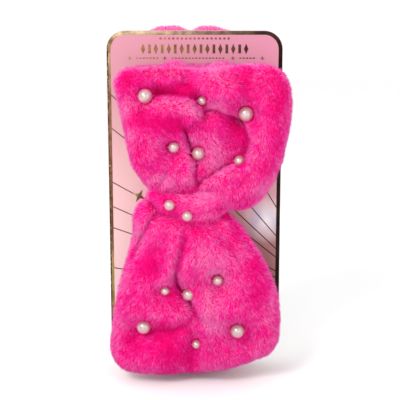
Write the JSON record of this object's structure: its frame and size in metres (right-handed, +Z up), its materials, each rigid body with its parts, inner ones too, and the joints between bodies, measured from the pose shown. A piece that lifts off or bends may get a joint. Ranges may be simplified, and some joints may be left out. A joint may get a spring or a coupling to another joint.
{
  "type": "spa headband",
  "caption": "Plush spa headband with a large puffy bow set with faux pearls, held upright on a foil-edged display card by its two tucked band ends.",
  "frame": {"origin": "on the flat underside of the band's lower fold, below the card, where the object rests", "axes": "+Z up along the card's height, +X to the wearer's left as seen from the front (image right), -Y is the front where the bow is"},
  "size_m": [0.1075, 0.0624, 0.208],
  "materials": {
    "plush": "short-pile plush",
    "lining": "smooth knit",
    "filling": "polyester fibre",
    "elastic": "ribbed elastic",
    "thread": "sewing thread",
    "pearl": "pearlescent",
    "card_board": "uncoated board",
    "card_print": "satin print",
    "foil": "stamped metallic foil"
  },
  "bodies": {
    "headband": {"front_plush": "plush", "front_wadding": "filling", "front_lining": "lining", "rear_plush": "plush", "rear_elastic": "elastic", "rear_lining": "lining", "upper_fold": "plush", "upper_tail": "plush", "lower_fold": "plush", "lower_tail": "plush", "tail_seam": "thread", "bow_waist": "plush", "knot_wrap": "plush", "knot_stitches": "thread", "knot_pearl_1": "pearl", "knot_pearl_2": "pearl", "knot_threads": "thread"},
    "bow_upper": {"upper_cover": "plush", "upper_filling": "filling", "upper_pearl_1": "pearl", "upper_pearl_2": "pearl", "upper_pearl_3": "pearl", "upper_pearl_4": "pearl", "upper_pearl_5": "pearl", "upper_pearl_6": "pearl", "upper_threads": "thread"},
    "bow_lower": {"lower_cover": "plush", "lower_filling": "filling", "lower_pearl_1": "pearl", "lower_pearl_2": "pearl", "lower_pearl_3": "pearl", "lower_pearl_4": "pearl", "lower_pearl_5": "pearl", "lower_pearl_6": "pearl", "lower_threads": "thread"},
    "display_card": {"card_board": "card_board", "card_print": "card_print", "foil_border": "foil", "foil_rays": "foil", "foil_stars": "foil", "foil_ornament": "foil"}
  },
  "joints": [
    {"name": "upper_loop_lift", "type": "hinge", "parent": "headband", "child": "bow_upper", "pos_m": [-0.004, -0.043, 0.1135], "axis": [1, 0, 0], "range_deg": [0, 32]},
    {"name": "lower_loop_lift", "type": "hinge", "parent": "headband", "child": "bow_lower", "pos_m": [-0.004, -0.043, 0.0965], "axis": [-1, 0, 0], "range_deg": [0, 32]},
    {"name": "card_release", "type": "slide", "parent": "headband", "child": "display_card", "axis": [0, 1, 0], "range_m": [0, 0.06], "deforming": ["upper_tail", "lower_tail", "tail_seam"]}
  ]
}
